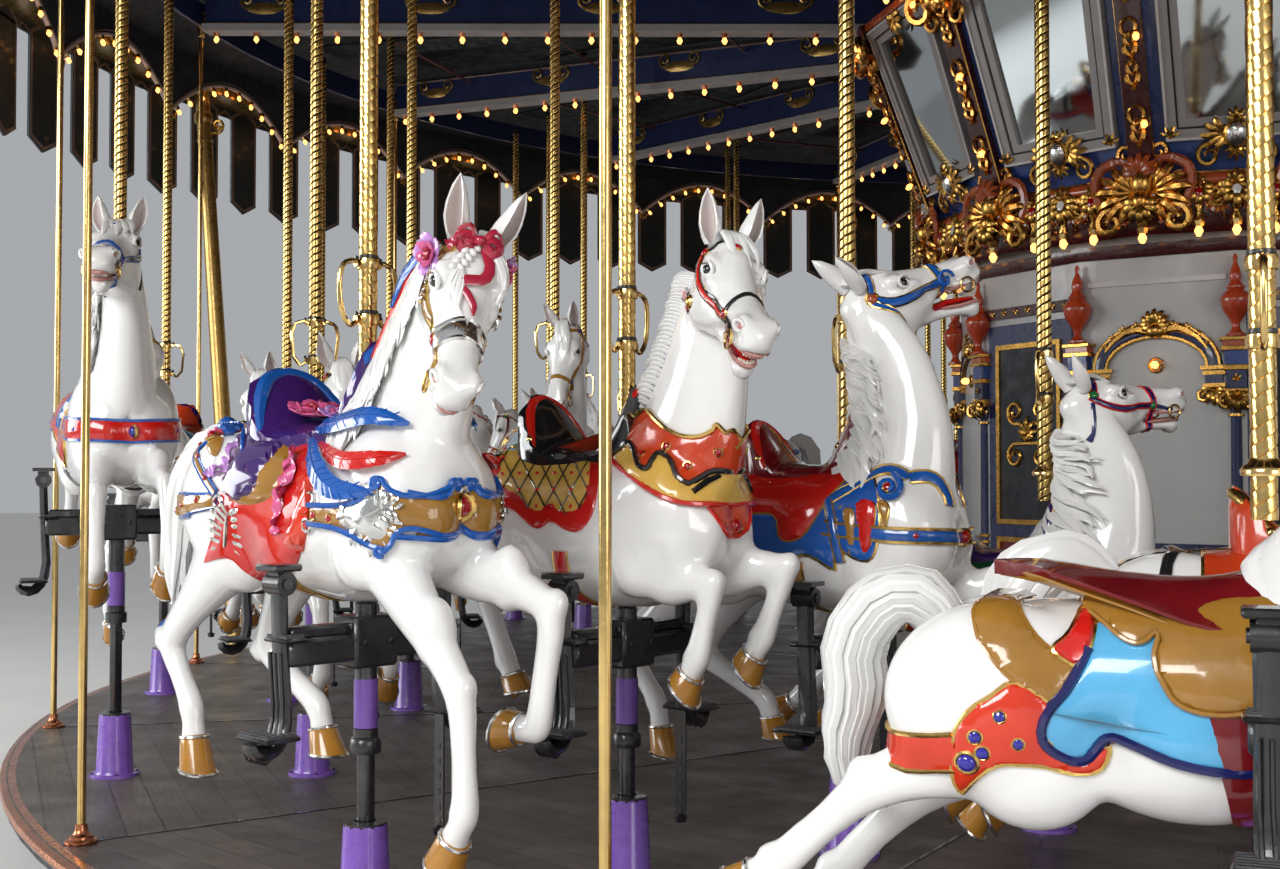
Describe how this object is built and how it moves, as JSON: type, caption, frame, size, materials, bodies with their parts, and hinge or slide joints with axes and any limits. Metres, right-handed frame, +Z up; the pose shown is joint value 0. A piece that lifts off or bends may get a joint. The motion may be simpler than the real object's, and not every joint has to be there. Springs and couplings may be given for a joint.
{
  "type": "fairground carousel",
  "caption": "Round canopied carousel: a platform hung from radial sweeps turns about a central mast and carries rows of carved jumping horses on twisted poles.",
  "frame": {"origin": "on the turning axis, at ground level", "axes": "+Z up; the picture looks at the -Y side and along +Y, with +X to its right, and the horses there face +X"},
  "size_m": [16.8584, 16.8584, 9.15],
  "materials": {
    "gilded_steel": "bronze-gold paint on steel, satin",
    "pale_board": "painted board, pale pinkish edge, satin",
    "navy_board": "painted board, dark navy in copper-brown frames",
    "roof_panels": "painted roof panels on rafters, navy and cream, satin",
    "deck_planks": "dark worn planks with a copper-coloured nosing",
    "violet_covers": "moulded violet sleeves on a dark floor covering, satin",
    "polished_brass": "polished brass",
    "navy_frame": "navy paint, grey-white lower flange",
    "house_panels": "painted panels, pale grey with navy and gold mouldings",
    "carved_gilt": "carved wood, gold leaf and orange-red paint",
    "casing_boards": "painted boards, blue field with grey frames and dark-red ribs",
    "carved_horse": "carved wood, glossy enamel, on a brass pole"
  },
  "bodies": {
    "fixed_frame": {"centre_mast": "gilded_steel", "columns_and_ring_beam": "gilded_steel", "scalloped_lamp_board": "pale_board", "slat_valance": "navy_board", "canopy_roof": "roof_panels"},
    "turntable": {"platform": "deck_planks", "floor_cover_with_sleeves": "violet_covers", "rim_poles_and_hoop": "polished_brass", "sweeps_and_hub": "navy_frame", "centre_house_wall": "house_panels", "carved_cornice": "carved_gilt", "mirror_casing": "casing_boards"},
    "ride_a01": {"horse_a01": "carved_horse"},
    "ride_b01": {"horse_b01": "carved_horse"},
    "ride_c01": {"horse_c01": "carved_horse"},
    "ride_d01": {"horse_d01": "carved_horse"},
    "ride_a02": {"horse_a02": "carved_horse"},
    "ride_b02": {"horse_b02": "carved_horse"},
    "ride_a03": {"horse_a03": "carved_horse"},
    "ride_b03": {"horse_b03": "carved_horse"},
    "ride_c03": {"horse_c03": "carved_horse"},
    "ride_d03": {"horse_d03": "carved_horse"},
    "ride_a04": {"horse_a04": "carved_horse"},
    "ride_b04": {"horse_b04": "carved_horse"},
    "ride_a05": {"horse_a05": "carved_horse"},
    "ride_b05": {"horse_b05": "carved_horse"},
    "ride_c05": {"horse_c05": "carved_horse"},
    "ride_d05": {"horse_d05": "carved_horse"},
    "ride_a06": {"horse_a06": "carved_horse"},
    "ride_b06": {"horse_b06": "carved_horse"},
    "ride_a07": {"horse_a07": "carved_horse"},
    "ride_b07": {"horse_b07": "carved_horse"},
    "ride_c07": {"horse_c07": "carved_horse"},
    "ride_d07": {"horse_d07": "carved_horse"},
    "ride_a08": {"horse_a08": "carved_horse"},
    "ride_b08": {"horse_b08": "carved_horse"},
    "ride_a09": {"horse_a09": "carved_horse"},
    "ride_b09": {"horse_b09": "carved_horse"},
    "ride_c09": {"horse_c09": "carved_horse"},
    "ride_d09": {"horse_d09": "carved_horse"},
    "ride_a10": {"horse_a10": "carved_horse"},
    "ride_b10": {"horse_b10": "carved_horse"},
    "ride_a11": {"horse_a11": "carved_horse"},
    "ride_b11": {"horse_b11": "carved_horse"},
    "ride_c11": {"horse_c11": "carved_horse"},
    "ride_d11": {"horse_d11": "carved_horse"},
    "ride_a12": {"horse_a12": "carved_horse"},
    "ride_b12": {"horse_b12": "carved_horse"},
    "ride_a13": {"horse_a13": "carved_horse"},
    "ride_b13": {"horse_b13": "carved_horse"},
    "ride_c13": {"horse_c13": "carved_horse"},
    "ride_d13": {"horse_d13": "carved_horse"},
    "ride_a14": {"horse_a14": "carved_horse"},
    "ride_b14": {"horse_b14": "carved_horse"},
    "ride_a15": {"horse_a15": "carved_horse"},
    "ride_b15": {"horse_b15": "carved_horse"},
    "ride_c15": {"horse_c15": "carved_horse"},
    "ride_d15": {"horse_d15": "carved_horse"},
    "ride_a16": {"horse_a16": "carved_horse"},
    "ride_b16": {"horse_b16": "carved_horse"}
  },
  "joints": [
    {"name": "turn", "type": "hinge", "parent": "fixed_frame", "child": "turntable", "pos_m": [0, 0, 0.36], "axis": [0, 0, 1], "continuous": true},
    {"name": "rise_a01", "type": "slide", "parent": "turntable", "child": "ride_a01", "axis": [0, 0, 1], "range_m": [-0.2, 0.2]},
    {"name": "rise_b01", "type": "slide", "parent": "turntable", "child": "ride_b01", "axis": [0, 0, 1], "range_m": [-0.15, 0.25]},
    {"name": "rise_c01", "type": "slide", "parent": "turntable", "child": "ride_c01", "axis": [0, 0, 1], "range_m": [-0.1, 0.3]},
    {"name": "rise_d01", "type": "slide", "parent": "turntable", "child": "ride_d01", "axis": [0, 0, 1], "range_m": [0, 0.4]},
    {"name": "rise_a02", "type": "slide", "parent": "turntable", "child": "ride_a02", "axis": [0, 0, 1], "range_m": [0, 0.4]},
    {"name": "rise_b02", "type": "slide", "parent": "turntable", "child": "ride_b02", "axis": [0, 0, 1], "range_m": [-0.1, 0.3]},
    {"name": "rise_a03", "type": "slide", "parent": "turntable", "child": "ride_a03", "axis": [0, 0, 1], "range_m": [0, 0.4]},
    {"name": "rise_b03", "type": "slide", "parent": "turntable", "child": "ride_b03", "axis": [0, 0, 1], "range_m": [-0.28, 0.12]},
    {"name": "rise_c03", "type": "slide", "parent": "turntable", "child": "ride_c03", "axis": [0, 0, 1], "range_m": [-0.35, 0.05]},
    {"name": "rise_d03", "type": "slide", "parent": "turntable", "child": "ride_d03", "axis": [0, 0, 1], "range_m": [-0.02, 0.38]},
    {"name": "rise_a04", "type": "slide", "parent": "turntable", "child": "ride_a04", "axis": [0, 0, 1], "range_m": [-0.36, 0.04]},
    {"name": "rise_b04", "type": "slide", "parent": "turntable", "child": "ride_b04", "axis": [0, 0, 1], "range_m": [-0.26, 0.14]},
    {"name": "rise_a05", "type": "slide", "parent": "turntable", "child": "ride_a05", "axis": [0, 0, 1], "range_m": [-0.17, 0.23]},
    {"name": "rise_b05", "type": "slide", "parent": "turntable", "child": "ride_b05", "axis": [0, 0, 1], "range_m": [-0.02, 0.38]},
    {"name": "rise_c05", "type": "slide", "parent": "turntable", "child": "ride_c05", "axis": [0, 0, 1], "range_m": [-0.35, 0.05]},
    {"name": "rise_d05", "type": "slide", "parent": "turntable", "child": "ride_d05", "axis": [0, 0, 1], "range_m": [-0.28, 0.12]},
    {"name": "rise_a06", "type": "slide", "parent": "turntable", "child": "ride_a06", "axis": [0, 0, 1], "range_m": [-0.09, 0.31]},
    {"name": "rise_b06", "type": "slide", "parent": "turntable", "child": "ride_b06", "axis": [0, 0, 1], "range_m": [-0.39, 0.01]},
    {"name": "rise_a07", "type": "slide", "parent": "turntable", "child": "ride_a07", "axis": [0, 0, 1], "range_m": [-0.39, 0.01]},
    {"name": "rise_b07", "type": "slide", "parent": "turntable", "child": "ride_b07", "axis": [0, 0, 1], "range_m": [-0.09, 0.31]},
    {"name": "rise_c07", "type": "slide", "parent": "turntable", "child": "ride_c07", "axis": [0, 0, 1], "range_m": [-0.08, 0.32]},
    {"name": "rise_d07", "type": "slide", "parent": "turntable", "child": "ride_d07", "axis": [0, 0, 1], "range_m": [-0.39, 0.01]},
    {"name": "rise_a08", "type": "slide", "parent": "turntable", "child": "ride_a08", "axis": [0, 0, 1], "range_m": [-0.02, 0.38]},
    {"name": "rise_b08", "type": "slide", "parent": "turntable", "child": "ride_b08", "axis": [0, 0, 1], "range_m": [-0.17, 0.23]},
    {"name": "rise_a09", "type": "slide", "parent": "turntable", "child": "ride_a09", "axis": [0, 0, 1], "range_m": [-0.27, 0.13]},
    {"name": "rise_b09", "type": "slide", "parent": "turntable", "child": "ride_b09", "axis": [0, 0, 1], "range_m": [-0.36, 0.04]},
    {"name": "rise_c09", "type": "slide", "parent": "turntable", "child": "ride_c09", "axis": [0, 0, 1], "range_m": [-0.03, 0.37]},
    {"name": "rise_d09", "type": "slide", "parent": "turntable", "child": "ride_d09", "axis": [0, 0, 1], "range_m": [-0.15, 0.25]},
    {"name": "rise_a10", "type": "slide", "parent": "turntable", "child": "ride_a10", "axis": [0, 0, 1], "range_m": [-0.28, 0.12]},
    {"name": "rise_b10", "type": "slide", "parent": "turntable", "child": "ride_b10", "axis": [0, 0, 1], "range_m": [0, 0.4]},
    {"name": "rise_a11", "type": "slide", "parent": "turntable", "child": "ride_a11", "axis": [0, 0, 1], "range_m": [-0.02, 0.38]},
    {"name": "rise_b11", "type": "slide", "parent": "turntable", "child": "ride_b11", "axis": [0, 0, 1], "range_m": [-0.34, 0.06]},
    {"name": "rise_c11", "type": "slide", "parent": "turntable", "child": "ride_c11", "axis": [0, 0, 1], "range_m": [-0.29, 0.11]},
    {"name": "rise_d11", "type": "slide", "parent": "turntable", "child": "ride_d11", "axis": [0, 0, 1], "range_m": [0, 0.4]},
    {"name": "rise_a12", "type": "slide", "parent": "turntable", "child": "ride_a12", "axis": [0, 0, 1], "range_m": [-0.39, 0.01]},
    {"name": "rise_b12", "type": "slide", "parent": "turntable", "child": "ride_b12", "axis": [0, 0, 1], "range_m": [-0.19, 0.21]},
    {"name": "rise_a13", "type": "slide", "parent": "turntable", "child": "ride_a13", "axis": [0, 0, 1], "range_m": [-0.1, 0.3]},
    {"name": "rise_b13", "type": "slide", "parent": "turntable", "child": "ride_b13", "axis": [0, 0, 1], "range_m": [-0.07, 0.33]},
    {"name": "rise_c13", "type": "slide", "parent": "turntable", "child": "ride_c13", "axis": [0, 0, 1], "range_m": [-0.39, 0.01]},
    {"name": "rise_d13", "type": "slide", "parent": "turntable", "child": "ride_d13", "axis": [0, 0, 1], "range_m": [-0.21, 0.19]},
    {"name": "rise_a14", "type": "slide", "parent": "turntable", "child": "ride_a14", "axis": [0, 0, 1], "range_m": [-0.16, 0.24]},
    {"name": "rise_b14", "type": "slide", "parent": "turntable", "child": "ride_b14", "axis": [0, 0, 1], "range_m": [-0.4, 0]},
    {"name": "rise_a15", "type": "slide", "parent": "turntable", "child": "ride_a15", "axis": [0, 0, 1], "range_m": [-0.36, 0.04]},
    {"name": "rise_b15", "type": "slide", "parent": "turntable", "child": "ride_b15", "axis": [0, 0, 1], "range_m": [-0.04, 0.36]},
    {"name": "rise_c15", "type": "slide", "parent": "turntable", "child": "ride_c15", "axis": [0, 0, 1], "range_m": [-0.14, 0.26]},
    {"name": "rise_d15", "type": "slide", "parent": "turntable", "child": "ride_d15", "axis": [0, 0, 1], "range_m": [-0.4, 0]},
    {"name": "rise_a16", "type": "slide", "parent": "turntable", "child": "ride_a16", "axis": [0, 0, 1], "range_m": [-0.4, 0]},
    {"name": "rise_b16", "type": "slide", "parent": "turntable", "child": "ride_b16", "axis": [0, 0, 1], "range_m": [-0.24, 0.16]}
  ]
}
